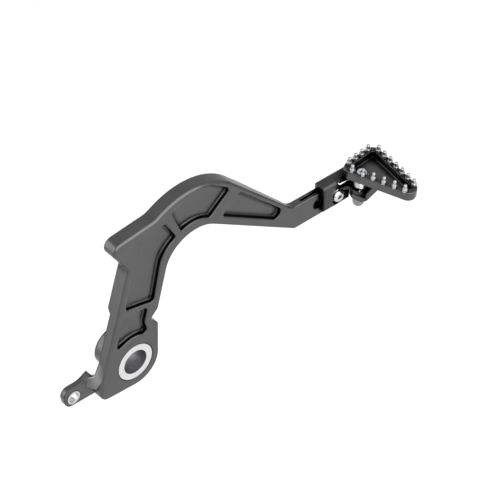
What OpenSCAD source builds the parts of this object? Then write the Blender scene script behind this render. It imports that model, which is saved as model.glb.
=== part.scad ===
// Rear brake pedal for a motorcycle, right hand side, with a toe pad that folds about an upright bolt
// X runs forward to the toe, Y runs inboard and Z runs up
// The origin is on the pivot axis, in the plane of the arm's outboard face

/* [Pivot] */
// Radius of the bore that turns on the motorcycle's pivot pin
pivot_bore_r = 10; // [8:0.5:12]
// Wall of the bush body pressed into the arm
bush_wall = 2.5; // [2:0.25:3.5]
// Radius of the bright flange on the outboard side
flange_r = 15; // [13:0.5:17]
// Thickness of the flange
flange_t = 2; // [1.5:0.5:3]
// Radius of the arm round the pivot
eye_r = 21; // [18:0.5:24]
// Radius of the hub on the inboard side
hub_r = 16.6; // [15:0.2:18]
// Inboard end of the hub, from the outboard face
hub_y = 25; // [20:1:30]

/* [Arm] */
// Thickness of the horn, the arch and the diagonal
arm_t = 12; // [10:0.5:14]
// Thickness of the upright below its step
upright_t = 8; // [7:0.5:10]
// Thickness of the straight tail
tail_t = 6; // [5:0.5:8]
// Height of the step on the inboard face of the upright
step_z = 54; // [45:1:60]
// Rounding of the outboard edge
edge_r = 2.4; // [1:0.2:3]
// Rounding of the inboard edge
back_edge_r = 1; // [0.6:0.2:1.6]
// Depth of the pockets on the outboard face
pocket_d = 3.4; // [2:0.2:4]
// Depth of the pockets on the inboard face
back_pocket_d = 3; // [2:0.2:4]

/* [Tail] */
// Bottom of the tail above the pivot axis
tail_z0 = 41.2; // [40:0.2:45]
// Top of the tail above the pivot axis
tail_z1 = 61; // [58:0.2:64]
// Forward end of the tail
tail_x = 194; // [190:1:198]
// Radius of the screw holes in the tail
tail_hole_r = 3.3; // [3.2:0.1:3.6]
// Height of the holes and of the bracket screw
screw_z = 51.6; // [50:0.2:53]
// Place of the bracket screw along the tail
screw_x = 183; // [181:0.5:186]
// Distance between the two holes in the tail
hole_pitch = 16.5; // [14:0.5:18]

/* [Push rod lug] */
// Place of the push rod eye behind the pivot
rod_x = -46; // [-50:0.5:-42]
// Height of the push rod eye
rod_z = -15.4; // [-18:0.2:-13]
// Wall of the bright eye bush
rod_wall = 1.5; // [1:0.25:2]
// Radius of the push rod pin bore
rod_bore_r = 4; // [3:0.25:4.5]
// Outboard face of the lug
lug_y0 = 12.2; // [11:0.2:13]
// Inboard face of the lug
lug_y1 = 16.6; // [15:0.2:18]

/* [Toe bracket] */
// Rear end of the bracket on the tail
bracket_x0 = 168.8; // [166:0.2:170]
// Forward end of the bracket
bracket_x1 = 199; // [197:1:202]
// Thickness of the outboard wall
wall_t = 4; // [3:0.5:5]
// Top of the bracket
bracket_z1 = 66.6; // [64:0.2:67]
// Bottom of the outboard wall
bracket_z0 = 44.6; // [43:0.2:46]

/* [Hinge] */
// Place of the hinge axis along the pedal, at the top of the ear
hinge_x = 197.8; // [195:0.2:200]
// Place of the hinge axis, minus is outboard
hinge_y = -9; // [-11:0.2:-7]
// Height of the top of the ear at the hinge axis
hinge_z = 57.9; // [56:0.1:60]
// Lean of the hinge axis outboard, in degrees
lean = 7; // [0:1:10]
// Radius of the ear and of the fork lug
ear_r = 6.6; // [6:0.1:7]
// Thickness of the ear
ear_t = 3.4; // [3:0.2:4]
// Outer radius of the hinge sleeve
sleeve_r = 4; // [3.8:0.1:4.2]
// Outer radius of the spring coil
coil_r = 5.3; // [5:0.1:5.6]
// Radius of the spring wire
wire_r = 0.6; // [0.5:0.05:0.7]

/* [Toe pad] */
// Height of the tray's floor above the ear
floor_w = 8; // [7:0.2:9]
// Thickness of the floor
floor_t = 2.5; // [2:0.5:3]
// Height of the rim
rim_h = 8.2; // [7:0.2:9]
// Width of the rim
rim_w = 4.4; // [4:0.2:5]
// Height of a stud above the rim
stud_h = 6.4; // [3:0.2:7]
// Radius of a stud's pin
stud_r = 1.1; // [1:0.1:1.5]

/* [Hidden] */

// Reach of a cutting shape past the face that it cuts
over = 1;
// Steps in a rounded edge, and the largest turn and sag of one step in a rounded corner
edge_steps = 4;
corner_step = 15;
corner_sag = 0.06;
fine = 64;
hex = 6;
forged = [0.38, 0.39, 0.41];
bright = [0.85, 0.86, 0.88];
rubber = [0.08, 0.08, 0.09];

// Share of the outboard rounding that the arch's inner edge and the tail have
inner_share = 0.3;

// Corners of the arm's outline: place along X, height, rounding radius and share of the edge rounding
arm_corners = [
    [-30.6, -eye_r - 0.8, 7, 0.7],
    [eye_r, -eye_r - 0.8, eye_r - 0.4, inner_share],
    [eye_r, 25.5, 3, inner_share],
    [14.2, 32.2, 2.4, inner_share],
    [21, 39.3, 3, inner_share],
    [37.8, 111.5, 28.2, inner_share],
    [145.2, tail_z0 - 0.6, 3, inner_share],
    [tail_x, tail_z0, 3, inner_share],
    [tail_x, tail_z1, 3, inner_share],
    [143.2, tail_z1, 9, inner_share],
    [62.1, 145.9, 54, 1],
    [18.5, 122.8, 8, 1],
    [-23.8, 118.2, 7.2, 1],
    [-5.2, 91, 5, 1],
    [-24.5, 18, 60, 1],
    [-30.8, -8, 20, 1]
];

// Outlines of the pockets, from the lowest to the one in the diagonal
low_pocket = [[-16.8, 19.2, 2.6], [0, 25.8, 20], [12.4, 20.2, 3], [9, 32, 6], [11.8, 45.6, 2.8], [-10.8, 47, 3]];
tall_pocket = [[-8.4, 53.4, 3], [17.4, 48.2, 2.6], [24.4, 87.4, 26], [37.8, 97.6, 2.4], [27.6, 115.4, 2.6],
    [7.4, 113.4, 4], [0.4, 88, 30]];
arch_pocket = [[42.4, 99.8, 2], [56, 104.6, 26], [68.4, 97.4, 2.6], [87.4, 114, 3.8], [62, 133, 26],
    [33.4, 122.4, 2.8]];
long_pocket = [[79.4, 91.8, 2], [129.6, 58.6, 3.8], [133.6, 66.4, 3.8], [95, 106, 2]];
// Outlines of the plainer pockets on the inboard face
back_tall_pocket = [[-4, 62, 3], [17.6, 62, 3], [24.4, 87.4, 26], [36.6, 98, 2.4], [27.4, 114.4, 2.6],
    [8, 112.6, 4], [1.6, 88, 30]];

// Corners of the push rod lug
lug_corners = [[-52.6, -22.4, 6.5], [-27, -22.4, 8], [-6, -15.4, 1], [-10, -11.5, 1], [-26.5, -11.5, 1],
    [-31.2, -1.2, 0.8], [-39.5, -5.8, 12], [-56, -6, 6]];
// Radius and lean of the cutter that blends the lug into the arm's rear edge
blend_r = 7;
blend_lean = 9;
blend_x = -30.2;
blend_z = -10;
blend_drop = 3.5;

// Outer radius of the two bushes, and the room round the flange
bush_r = pivot_bore_r + bush_wall;
rod_bush_r = rod_bore_r + rod_wall;
flange_gap = 0.5;
// Rubber seal on the inboard end of the hub
seal_t = 3;
seal_r = bush_r + 1.5;

// Stops of the inboard taper from the arch to the tail
taper_x0 = 96;
taper_x1 = 140;
// Groove along the top of the tail
groove_x = 153.4;
groove_w = 2;
groove_d = 3.8;
// The key on the bracket that slides in the groove
key_w = 1.8;
key_d = 3;

// Bracket screw: seat in the bracket's wall, flange and head
seat_y = -1.5;
screw_r = 3;
screw_head_r = 5.1;
screw_flange_r = 5.7;
screw_flange_t = 0.8;
screw_head_t = 2.7;
screw_end = 13;
bracket_washer_t = 1.2;
bracket_washer_r = 6;
m6_nut_r = 5.77;
m6_nut_t = 5;
// Scoop in the bracket's outboard wall
scoop_x = 190;
scoop_z = 54;
scoop_r = 14.5;
scoop_d = 2.4;

// Hinge stack along the axis, from the top of the ear
bolt_r = 2.5;
bolt_head_r = 4.4;
bolt_head_t = 4.6;
bolt_washer_t = 0.9;
bolt_washer_r = 5;
hole_r = 2.6;
sleeve_bore_r = 2.55;
ear_bore_r = 4.05;
gap = 0.1;
fork_top = -4.7;
fork_bottom = -9.6;
nut_hex_r = 4.9;
nut_hex_t = 6.4;
nut_dome_r = 4.2;
head_well_r = 5.3;
// Depth of the room in which the fork's lug and the nut turn
lug_room = 30;
// Spring: turns, their rise and the height of the lowest turn
turns = 6;
rise = 1.17;
coil_base = wire_r;
leg_x = -15.8;
leg_y = coil_r - wire_r - 0.1;
leg_r = wire_r - 0.06;
hook_depth = 4;

// Reach of the ear into the bracket's wall, short of the tail
ear_v = -hinge_y - 0.4;
// Corners of the ear, seen along the hinge axis
ear_corners = [[ear_r, -ear_r, ear_r - 0.1], [ear_r, 4, 3], [1.2, ear_v, 0.4], [-13.5, ear_v, 0.4],
    [-13.5, 5.4, 0.4], [-6.9, 4.4, 3.5], [-ear_r, -ear_r, ear_r - 0.1]];
// Corners of the toe pad, seen along the hinge axis
pad_corners = [[12.2, -38, 6.2], [22.4, -38, 6.2], [22.5, 14, 6.6], [-13.3, 11, 5.8]];
// The fork's arm runs along the rear wall of the pad, turned by this angle from straight outboard
fork_turn = 26.3;
fork_profile = [[-10, fork_bottom], [4.6, fork_bottom], [8.4, fork_bottom + 3.4], [15.1, floor_w], [15.1, floor_w + over],
    [11.4, floor_w + over], [7.4, 0.6], [7.4, fork_top], [-10, fork_top]];

// Rows of studs on the rim: first place, last place and number
rear_studs = [[-6.6, 3], [11.6, -33], 6];
front_studs = [[20.1, 6.4], [20.1, -32.6], 7];
inner_studs = [[-4, 9.5], [14.4, 11.1], 4];
stud_hex_r = 2.2;
stud_hex_h = 2.6;
stud_cone_h = 0.6;

function unit(v) = v / norm(v);
function turned(v) = [v[1], -v[0]];
function crossed(a, b) = a[0] * b[1] - a[1] * b[0];
function share(q) = len(q) > 3 ? q[3] : 1;

// Points of one rounded corner, moved inwards by the inset, each with its share of the edge rounding
function corner_arc(p, q, n, inset) =
    let (
        a = unit([q[0] - p[0], q[1] - p[1]]),
        b = unit([n[0] - q[0], n[1] - q[1]]),
        side = crossed(a, b) > 0 ? 1 : -1,
        turn = acos(max(-1, min(1, a * b))),
        start = [q[0], q[1]] - a * q[2] * tan(turn / 2),
        centre = start - turned(a) * q[2] * side,
        first = atan2(side * turned(a)[1], side * turned(a)[0]),
        steps = max(2, ceil(turn / min(corner_step, 2 * acos(1 - corner_sag / max(q[2], 1))))),
        r = q[2] - side * inset * share(q)
    )
    [for (i = [0 : steps])
        let (angle = first + side * turn * i / steps)
        [centre[0] + r * cos(angle), centre[1] + r * sin(angle), share(q)]];

// A closed ring of points round an outline, turning from X towards Y
function ring(corners, inset = 0) =
    let (count = len(corners))
    [for (i = [0 : count - 1])
        for (pt = corner_arc(corners[(i + count - 1) % count], corners[i], corners[(i + 1) % count], inset)) pt];

function flat_ring(corners, inset = 0) = [for (pt = ring(corners, inset)) [pt[0], pt[1]]];

// Twice the area of the triangle a b c, positive when it turns from X towards Y
function twice_area(a, b, c) = (b[0] - a[0]) * (c[1] - a[1]) - (b[1] - a[1]) * (c[0] - a[0]);

// Whether the corner at place i of the remaining outline can be cut off as one triangle
function is_ear(pts, left, i) =
    let (
        n = len(left),
        a = pts[left[(i + n - 1) % n]],
        b = pts[left[i]],
        c = pts[left[(i + 1) % n]]
    )
    twice_area(a, b, c) > 0 && len([for (k = [2 : n - 2])
        let (q = pts[left[(i + k) % n]])
        if (twice_area(a, b, q) > 0 && twice_area(b, c, q) > 0 && twice_area(c, a, q) > 0) k]) == 0;

function next_ear(pts, left, i = 0) = i >= len(left) || is_ear(pts, left, i) ? i % len(left) : next_ear(pts, left, i + 1);

// Triangles that fill a flat outline, also one that bends inwards
function clip(pts, left) =
    len(left) == 3
        ? [left]
        : let (n = len(left), i = next_ear(pts, left))
            concat([[left[(i + n - 1) % n], left[i], left[(i + 1) % n]]],
                clip(pts, [for (k = [1 : n - 1]) left[(i + k) % n]]));

// A solid through rings of one outline; each layer is a height, a height to be shared and an inset
module skin(corners, layers) {
    count = len(ring(corners));
    last = (len(layers) - 1) * count;
    points = [for (k = layers) for (p = ring(corners, k[2])) [p[0], p[1], k[0] + k[1] * p[2]]];
    sides = [for (k = [0 : len(layers) - 2]) for (i = [0 : count - 1])
        let (a = k * count + i, b = k * count + (i + 1) % count)
        for (face = [[a, a + count, b + count], [a, b + count, b]]) face];
    order = [for (i = [0 : count - 1]) i];
    low_cap = clip(ring(corners, layers[0][2]), order);
    high_cap = clip(ring(corners, layers[len(layers) - 1][2]), order);
    polyhedron(points, concat(sides, low_cap, [for (t = high_cap) [last + t[2], last + t[1], last + t[0]]]));
}

// Layers of a plate between two heights, with rounded edges of the given radii
function plate_layers(low, high, low_r, high_r) = concat(
    [for (i = [0 : edge_steps]) let (a = 90 * i / edge_steps) [low, low_r * (1 - cos(a)), low_r * (1 - sin(a))]],
    [for (i = [edge_steps : -1 : 0]) let (a = 90 * i / edge_steps) [high, -high_r * (1 - cos(a)), high_r * (1 - sin(a))]]);

// Layers of a pocket's cutter, with a rounded rim, a slight draft and a rounded floor
function pocket_layers(face, depth, side) =
    let (steps = [[over, -0.7], [0, -0.7], [-0.3, -0.25], [-0.8, 0], [1.2 - depth, 0.4], [0.3 - depth, 0.8],
        [-depth, 1.7]])
    side > 0
        ? [for (i = [len(steps) - 1 : -1 : 0]) [face + steps[i][0], 0, steps[i][1]]]
        : [for (s = steps) [face - s[0], 0, s[1]]];

// Stands a shape drawn flat upright, with its top facing outboard
module upright() {
    rotate([90, 0, 0])
    children();
}

// A cylinder along Y between two places
module cross_pin(x, z, y0, y1, r, sides = fine) {
    translate([x, y1, z])
    rotate([90, 0, 0])
    cylinder(h = y1 - y0, r = r, $fn = sides);
}

// A shape drawn along Y and Z, drawn out along X between two places
module drawn_along(x0, x1) {
    translate([x0, 0, 0])
    rotate([90, 0, 90])
    linear_extrude(x1 - x0)
    children();
}

// The hinge's own frame, with its origin at the top of the ear and Z along the bolt
module at_hinge() {
    translate([hinge_x, hinge_y, hinge_z])
    rotate([lean, 0, 0])
    children();
}

// A tube along the hinge axis
module tube(low, high, outer, inner) {
    translate([0, 0, low])
    difference() {
        cylinder(h = high - low, r = outer, $fn = fine);
        translate([0, 0, -over])
        cylinder(h = high - low + 2 * over, r = inner, $fn = fine);
    }
}

// The plate of the arm with its pockets, thinner at the upright and towards the tail
module arm_plate() {
    difference() {
        upright()
        difference() {
            skin(arm_corners, plate_layers(-arm_t, 0, back_edge_r, edge_r));
            skin(low_pocket, pocket_layers(0, pocket_d, 1));
            skin(tall_pocket, pocket_layers(0, pocket_d, 1));
            skin(arch_pocket, pocket_layers(0, pocket_d, 1));
            skin(long_pocket, pocket_layers(0, pocket_d, 1));
            skin(back_tall_pocket, pocket_layers(-arm_t, back_pocket_d, -1));
            skin(arch_pocket, pocket_layers(-arm_t, back_pocket_d, -1));
        }
        // The inboard face steps in below the arch
        drawn_along(-60, 60)
        polygon([[upright_t, -40], [arm_t + over, -40], [arm_t + over, step_z + over], [arm_t, step_z],
            [upright_t, step_z - arm_t + upright_t]]);
        // The inboard face tapers down to the tail
        linear_extrude(2 * step_z + 40)
        polygon([[taper_x0, arm_t], [taper_x1, tail_t], [tail_x + over, tail_t], [tail_x + over, arm_t + over],
            [taper_x0, arm_t + over]]);
    }
}

// The push rod lug behind the arm, with the cutter's blend into the arm's rear edge
module rod_lug() {
    translate([0, lug_y1, 0])
    upright()
    linear_extrude(lug_y1 - lug_y0)
    polygon(flat_ring(lug_corners));
    // The web between the lug and the arm's inboard face
    translate([0, lug_y0, 0])
    upright()
    linear_extrude(lug_y0 - upright_t + over)
    intersection() {
        polygon(flat_ring(lug_corners));
        polygon([[blend_x, blend_z - 2], [blend_x + 10, blend_z - 30], [10, blend_z - 30], [10, 20], [blend_x, 20]]);
    }
    difference() {
        translate([0, lug_y0, 0])
        upright()
        linear_extrude(blend_r)
        intersection() {
            polygon(flat_ring(lug_corners));
            translate([blend_x, blend_z])
            rotate(-blend_lean)
            translate([-blend_r, -blend_drop])
            square([blend_r + 3, 20 + blend_drop]);
        }
        translate([blend_x - blend_r, lug_y0 - blend_r, blend_z])
        rotate([0, blend_lean, 0])
        cylinder(h = 80, r = blend_r, center = true, $fn = fine);
    }
}

module pedal_arm() {
    color(forged)
    difference() {
        union() {
            arm_plate();
            cross_pin(0, 0, upright_t - over, hub_y, hub_r);
            rod_lug();
        }
        // Bore, flange recess and seal seat of the pivot
        cross_pin(0, 0, -over, hub_y + over, bush_r);
        cross_pin(0, 0, -over, flange_t, flange_r + flange_gap);
        cross_pin(0, 0, hub_y - seal_t, hub_y + over, seal_r);
        // Bore of the push rod eye
        cross_pin(rod_x, rod_z, lug_y0 - over, lug_y1 + over, rod_bush_r);
        // Screw holes of the tail
        cross_pin(screw_x, screw_z, -over, tail_t + over, tail_hole_r);
        cross_pin(screw_x - hole_pitch, screw_z, -over, tail_t + over, tail_hole_r);
        cross_pin(screw_x - hole_pitch, screw_z, -over, 0.8, tail_hole_r + 0.7);
        // Groove along the top of the tail
        translate([groove_x, tail_t / 2, tail_z1 - groove_d])
        linear_extrude(groove_d + over)
        union() {
            circle(r = groove_w / 2, $fn = fine);
            translate([0, -groove_w / 2])
            square([tail_x, groove_w]);
        }
    }
}

module pivot_bush() {
    color(bright)
    difference() {
        union() {
            cross_pin(0, 0, 0, flange_t, flange_r);
            cross_pin(0, 0, 0, hub_y - seal_t, bush_r);
        }
        cross_pin(0, 0, -over, hub_y, pivot_bore_r);
    }
}

module pivot_seal() {
    color(rubber)
    difference() {
        cross_pin(0, 0, hub_y - seal_t, hub_y + 0.3, seal_r);
        cross_pin(0, 0, hub_y - seal_t - over, hub_y + over, pivot_bore_r + 0.2);
    }
}

module rod_eye_bush() {
    color(bright)
    difference() {
        cross_pin(rod_x, rod_z, lug_y0 - 0.3, lug_y1 + 0.3, rod_bush_r);
        cross_pin(rod_x, rod_z, lug_y0 - over, lug_y1 + over, rod_bore_r);
    }
}

module toe_bracket() {
    scoop_ball = (scoop_r * scoop_r + scoop_d * scoop_d) / (2 * scoop_d);
    cap = [[-wall_t, bracket_z0, 2], [0, bracket_z0, 0.3], [0, tail_z1, 0.3], [tail_t, tail_z1, 0.3],
        [tail_t, bracket_z1, 1], [-wall_t, bracket_z1, 3]];
    nose = [[-wall_t, bracket_z0 + 3, 2], [tail_t, bracket_z0 + 3, 2], [tail_t, bracket_z1, 1],
        [-wall_t, bracket_z1, 3]];
    color(forged)
    difference() {
        union() {
            difference() {
                union() {
                    drawn_along(bracket_x0, bracket_x1)
                    polygon(flat_ring(cap));
                    drawn_along(tail_x + 0.3, bracket_x1)
                    polygon(flat_ring(nose));
                    translate([bracket_x0 + 4, (tail_t - key_w) / 2, tail_z1 - key_d])
                    cube([18, key_w, key_d + over]);
                }
                translate([scoop_x, scoop_d - wall_t - scoop_ball, scoop_z])
                sphere(r = scoop_ball, $fn = fine);
                // Room for the fork's lug to turn
                at_hinge()
                translate([0, 0, -lug_room])
                cylinder(h = lug_room - ear_t, r = ear_r + 0.5, $fn = fine);
            }
            at_hinge()
            translate([0, 0, -ear_t])
            linear_extrude(ear_t)
            polygon(flat_ring(ear_corners));
        }
        cross_pin(screw_x, screw_z, -2 * wall_t, seat_y, screw_flange_r + 0.5);
        cross_pin(screw_x, screw_z, -wall_t, over, screw_r + 0.3);
        at_hinge()
        translate([0, 0, -ear_t - over])
        cylinder(h = ear_t + 2 * over, r = ear_bore_r, $fn = fine);
        at_hinge()
        translate([leg_x, leg_y, leg_w()])
        rotate([-90 - lean, 0, 0])
        cylinder(h = 8, r = wire_r + 0.1, $fn = fine);
    }
}

module bracket_screw() {
    color(bright)
    difference() {
        union() {
            cross_pin(screw_x, screw_z, seat_y - screw_flange_t, screw_end, screw_r);
            cross_pin(screw_x, screw_z, seat_y - screw_flange_t, seat_y, screw_flange_r);
            translate([screw_x, seat_y - screw_flange_t, screw_z])
            rotate([90, 0, 0])
            cylinder(h = screw_head_t - screw_flange_t, r1 = screw_head_r, r2 = screw_head_r - 0.9, $fn = fine);
        }
        cross_pin(screw_x, screw_z, seat_y - screw_head_t - over, seat_y - 0.6, 2.31, hex);
    }
}

module bracket_washer() {
    color(bright)
    difference() {
        cross_pin(screw_x, screw_z, tail_t, tail_t + bracket_washer_t, bracket_washer_r);
        cross_pin(screw_x, screw_z, tail_t - over, tail_t + over + bracket_washer_t, screw_r + 0.2);
    }
}

module bracket_nut() {
    low = tail_t + bracket_washer_t;
    color(bright)
    difference() {
        cross_pin(screw_x, screw_z, low, low + m6_nut_t, m6_nut_r, hex);
        cross_pin(screw_x, screw_z, low - over, low + m6_nut_t + over, screw_r);
    }
}

// Height of the spring's upper turn, where its long leg starts
function leg_w() = coil_base + (turns - 1) * rise;

module hinge_spring() {
    mean_r = coil_r - wire_r;
    color(bright)
    at_hinge() {
        // The close wound coil, turn on turn, plain on the inside
        rotate_extrude($fn = fine)
        polygon(concat(
            [[mean_r - wire_r, coil_base - wire_r]],
            [for (i = [0 : turns - 1]) for (a = [-50 : 25 : 50])
                [mean_r + wire_r * cos(a), coil_base + i * rise + wire_r * sin(a)]],
            [[mean_r - wire_r, coil_base + (turns - 1) * rise + wire_r]]));
        // The long leg lies along the bracket and hooks into it
        translate([leg_x - wire_r, leg_y, leg_w()])
        rotate([0, 90, 0])
        cylinder(h = 1 - leg_x, r = leg_r, $fn = fine);
        translate([leg_x, leg_y - 0.2, leg_w()])
        rotate([-90 - lean, 0, 0])
        cylinder(h = hook_depth, r = leg_r, $fn = fine);
        // The short leg of the lowest turn
        translate([-5, -leg_y, coil_base])
        rotate([0, 90, 0])
        cylinder(h = 6, r = leg_r, $fn = fine);
    }
}

module hinge_sleeve() {
    color(bright)
    at_hinge()
    tube(fork_top, floor_w, sleeve_r, sleeve_bore_r);
}

module hinge_washer() {
    color(rubber)
    at_hinge()
    tube(fork_top, -ear_t - gap, ear_r - 0.6, ear_bore_r + gap);
}

module hinge_bolt() {
    seat = floor_w + floor_t + bolt_washer_t;
    color(bright)
    at_hinge() {
        translate([0, 0, fork_bottom - nut_hex_t])
        cylinder(h = seat - fork_bottom + nut_hex_t + over, r = bolt_r, $fn = fine);
        translate([0, 0, seat])
        cylinder(h = bolt_head_t, r = bolt_head_r, $fn = hex);
    }
}

module bolt_washer() {
    color(bright)
    at_hinge()
    tube(floor_w + floor_t, floor_w + floor_t + bolt_washer_t, bolt_washer_r, hole_r);
}

module hinge_nut() {
    color(bright)
    at_hinge()
    difference() {
        union() {
            translate([0, 0, fork_bottom - nut_hex_t])
            cylinder(h = nut_hex_t, r = nut_hex_r, $fn = hex);
            translate([0, 0, fork_bottom - nut_hex_t - 0.6])
            cylinder(h = over, r = nut_dome_r, $fn = fine);
            translate([0, 0, fork_bottom - nut_hex_t - 0.6])
            sphere(r = nut_dome_r, $fn = fine);
        }
        translate([0, 0, fork_bottom - nut_hex_t - over])
        cylinder(h = nut_hex_t + 2 * over, r = bolt_r, $fn = fine);
    }
}

module toe_pad() {
    top = floor_w + rim_h;
    bed = floor_w + floor_t;
    color(forged)
    at_hinge()
    difference() {
        union() {
            difference() {
                skin(pad_corners, plate_layers(floor_w, top, 1, 0.7));
                skin(pad_corners, [[bed, 0, rim_w + 1.1], [bed + 0.3, 0, rim_w + 0.4], [bed + 1.1, 0, rim_w],
                    [top - 0.5, 0, rim_w], [top, 0, rim_w - 0.5], [top + over, 0, rim_w - 0.5]]);
            }
            fork();
        }
        translate([0, 0, bed])
        cylinder(h = rim_h, r = head_well_r, $fn = fine);
        translate([0, 0, fork_bottom - over])
        cylinder(h = bed - fork_bottom + 2 * over, r = hole_r, $fn = fine);
    }
}

// The lower lug of the pad's fork and the sloping arm that joins it to the floor
module fork() {
    rotate([0, 0, fork_turn - 90])
    intersection() {
        translate([0, ear_r + over, 0])
        rotate([90, 0, 0])
        linear_extrude(2 * (ear_r + over))
        polygon(fork_profile);
        translate([0, 0, fork_bottom - over])
        linear_extrude(floor_w - fork_bottom + 3 * over)
        union() {
            circle(r = ear_r, $fn = fine);
            translate([0, -ear_r])
            square([30, 2 * ear_r]);
        }
    }
}

// One stud: a hexagon, a short cone and a pin
module stud() {
    cylinder(h = stud_hex_h, r = stud_hex_r, $fn = hex);
    translate([0, 0, stud_hex_h])
    cylinder(h = stud_cone_h, r1 = stud_hex_r - 0.4, r2 = stud_r, $fn = fine);
    cylinder(h = stud_h - 0.4, r = stud_r, $fn = fine);
    translate([0, 0, stud_h - 0.4])
    cylinder(h = 0.4, r1 = stud_r, r2 = stud_r - 0.4, $fn = fine);
}

module pad_studs() {
    color(bright)
    at_hinge()
    for (row = [rear_studs, front_studs, inner_studs])
    for (i = [0 : row[2] - 1])
    let (place = row[0] + (row[1] - row[0]) * i / (row[2] - 1))
    translate([place[0], place[1], floor_w + rim_h])
    rotate([0, 0, 20 * i])
    stud();
}

pedal_arm();
pivot_bush();
pivot_seal();
rod_eye_bush();
toe_bracket();
bracket_screw();
bracket_washer();
bracket_nut();
hinge_spring();
hinge_sleeve();
hinge_washer();
hinge_bolt();
bolt_washer();
hinge_nut();
toe_pad();
pad_studs();
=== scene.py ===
"""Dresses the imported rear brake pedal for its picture, with its finishes, fasteners, spring and studio."""

from __future__ import annotations

import logging
import math
from collections.abc import Callable
from dataclasses import dataclass, field
from enum import Enum

import bmesh
import bpy
from mathutils import Matrix, Vector

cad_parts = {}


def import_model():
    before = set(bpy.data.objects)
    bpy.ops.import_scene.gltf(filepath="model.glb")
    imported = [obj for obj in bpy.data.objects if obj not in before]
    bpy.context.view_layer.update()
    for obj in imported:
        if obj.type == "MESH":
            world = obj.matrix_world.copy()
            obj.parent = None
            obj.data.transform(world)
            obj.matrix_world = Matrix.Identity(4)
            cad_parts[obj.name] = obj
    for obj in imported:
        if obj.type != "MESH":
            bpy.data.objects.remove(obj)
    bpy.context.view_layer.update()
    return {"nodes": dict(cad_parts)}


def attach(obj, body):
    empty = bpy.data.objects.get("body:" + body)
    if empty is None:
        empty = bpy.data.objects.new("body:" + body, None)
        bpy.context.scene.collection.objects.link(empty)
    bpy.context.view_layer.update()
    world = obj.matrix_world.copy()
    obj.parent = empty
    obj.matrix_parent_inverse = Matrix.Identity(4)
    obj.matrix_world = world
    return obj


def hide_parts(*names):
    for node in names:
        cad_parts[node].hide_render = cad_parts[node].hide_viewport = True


LOG = logging.getLogger("brake_pedal")
MM = 0.001
THREAD_DEPTH_PER_PITCH = 0.54

Colour = tuple[float, float, float]
Span = tuple[float, float]
Girth = Callable[[float], float]
Ring = tuple[float, Girth]


class Body(Enum):
    """The two bodies that the toe hinge joins."""

    PEDAL = "pedal"
    TOE = "toe"


class Slot(Enum):
    """Material slot names that the scene's own pieces are passed with."""

    COAT = "coated_aluminium"
    STEEL = "bright_steel"


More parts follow.
